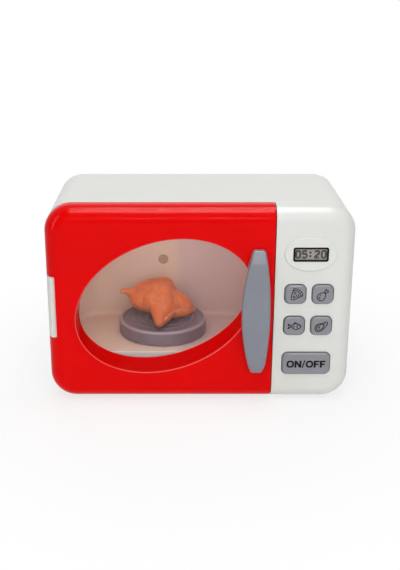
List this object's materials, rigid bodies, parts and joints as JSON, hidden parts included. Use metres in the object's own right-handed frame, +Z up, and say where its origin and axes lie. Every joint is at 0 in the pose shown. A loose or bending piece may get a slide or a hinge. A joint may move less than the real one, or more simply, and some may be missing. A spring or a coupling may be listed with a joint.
{
  "type": "toy microwave",
  "caption": "Toy microwave with a rounded white casing, red swing door with an oval window and bow handle, push buttons, a display and a driven turntable holding a toy chicken.",
  "frame": {"origin": "middle of the object's outline on the surface that it stands on", "axes": "+X to the panel side, +Y to the back, +Z up"},
  "size_m": [0.23, 0.1226, 0.155],
  "materials": {
    "white_plastic": "glossy moulded plastic",
    "red_plastic": "glossy moulded plastic",
    "grey_plastic": "satin moulded plastic",
    "liner_plastic": "satin moulded plastic",
    "turntable_plastic": "satin moulded plastic",
    "chicken_plastic": "soft satin vinyl with pimpled skin",
    "clear_plastic": "clear moulded sheet",
    "lens_plastic": "milky moulded plastic",
    "black_plastic": "glossy moulded plastic",
    "display_print": "printed grey display card",
    "rubber": "matt rubber",
    "silicone": "grey silicone",
    "board": "green lacquered board",
    "screw_steel": "zinc-plated steel",
    "gear_plastic": "natural white acetal",
    "inner_plastic": "dark moulded plastic",
    "contact_brass": "plated spring brass",
    "cell_wrap": "plain wrapped cell",
    "speaker_steel": "dark plated steel",
    "speaker_paper": "black paper",
    "lead_sheath": "soft vinyl"
  },
  "bodies": {
    "casing": {"outer_casing": "white_plastic", "rear_cover": "white_plastic", "cavity_liner": "liner_plastic", "lamp_lens": "lens_plastic", "display_bezel": "black_plastic", "display_screen": "display_print", "rubber_feet": "rubber", "button_pad": "silicone", "control_board": "board", "lamp_board": "board", "board_screws": "screw_steel", "liner_screws": "screw_steel", "gear_plate_screws": "screw_steel", "rear_cover_screws": "screw_steel", "battery_box_screws": "screw_steel", "idler_axle": "screw_steel", "drive_motor": "screw_steel", "latch_catch": "screw_steel", "spindle_bush": "gear_plastic", "gear_plate": "inner_plastic", "battery_box": "inner_plastic", "battery_contacts": "contact_brass", "batteries": "cell_wrap", "speaker_basket": "speaker_steel", "speaker_cone": "speaker_paper", "wiring_leads": "lead_sheath"},
    "door": {"door_panel": "red_plastic", "door_back_frame": "red_plastic", "door_window": "clear_plastic", "door_screws": "screw_steel", "hinge_pins": "screw_steel", "door_handle": "grey_plastic", "handle_screws": "screw_steel"},
    "turntable": {"turntable": "turntable_plastic", "turntable_spindle": "gear_plastic", "turntable_gear": "gear_plastic"},
    "idler": {"idler_gear": "gear_plastic"},
    "motor_rotor": {"motor_pinion": "gear_plastic", "motor_shaft": "screw_steel"},
    "toy_chicken": {"toy_chicken": "chicken_plastic"},
    "battery_cover": {"battery_cover": "white_plastic", "battery_cover_screw": "screw_steel"},
    "pizza_button": {"pizza_button": "grey_plastic"},
    "drumstick_button": {"drumstick_button": "grey_plastic"},
    "fish_button": {"fish_button": "grey_plastic"},
    "steak_button": {"steak_button": "grey_plastic"},
    "on_off_button": {"on_off_button": "grey_plastic"}
  },
  "joints": [
    {"name": "door_swing", "type": "hinge", "parent": "casing", "child": "door", "pos_m": [-0.11, -0.03975, 0.091], "axis": [0, 0, -1], "range_deg": [0, 100]},
    {"name": "turntable_spin", "type": "hinge", "parent": "casing", "child": "turntable", "pos_m": [-0.029, 0.01525, 0.039], "axis": [0, 0, 1], "continuous": true},
    {"name": "idler_spin", "type": "hinge", "parent": "casing", "child": "idler", "pos_m": [-0.005, 0.01525, 0.022], "axis": [0, 0, 1], "continuous": true},
    {"name": "motor_spin", "type": "hinge", "parent": "casing", "child": "motor_rotor", "pos_m": [0.015, 0.01525, 0.02], "axis": [0, 0, 1], "continuous": true},
    {"name": "chicken_lift", "type": "slide", "parent": "turntable", "child": "toy_chicken", "axis": [0, 0, 1], "range_m": [0, 0.03]},
    {"name": "battery_cover_pull", "type": "slide", "parent": "casing", "child": "battery_cover", "axis": [0, 1, 0], "range_m": [0, 0.025]},
    {"name": "pizza_button_press", "type": "slide", "parent": "casing", "child": "pizza_button", "axis": [0, 1, 0], "range_m": [0, 0.0014], "stiffness_N_per_m": 200, "deforming": ["button_pad"]},
    {"name": "drumstick_button_press", "type": "slide", "parent": "casing", "child": "drumstick_button", "axis": [0, 1, 0], "range_m": [0, 0.0014], "stiffness_N_per_m": 200, "deforming": ["button_pad"]},
    {"name": "fish_button_press", "type": "slide", "parent": "casing", "child": "fish_button", "axis": [0, 1, 0], "range_m": [0, 0.0014], "stiffness_N_per_m": 200, "deforming": ["button_pad"]},
    {"name": "steak_button_press", "type": "slide", "parent": "casing", "child": "steak_button", "axis": [0, 1, 0], "range_m": [0, 0.0014], "stiffness_N_per_m": 200, "deforming": ["button_pad"]},
    {"name": "on_off_button_press", "type": "slide", "parent": "casing", "child": "on_off_button", "axis": [0, 1, 0], "range_m": [0, 0.0014], "stiffness_N_per_m": 200, "deforming": ["button_pad"]}
  ],
  "couplings": [
    {"joint": "idler_spin", "follows": "turntable_spin", "ratio": -4},
    {"joint": "motor_spin", "follows": "turntable_spin", "ratio": 16}
  ]
}
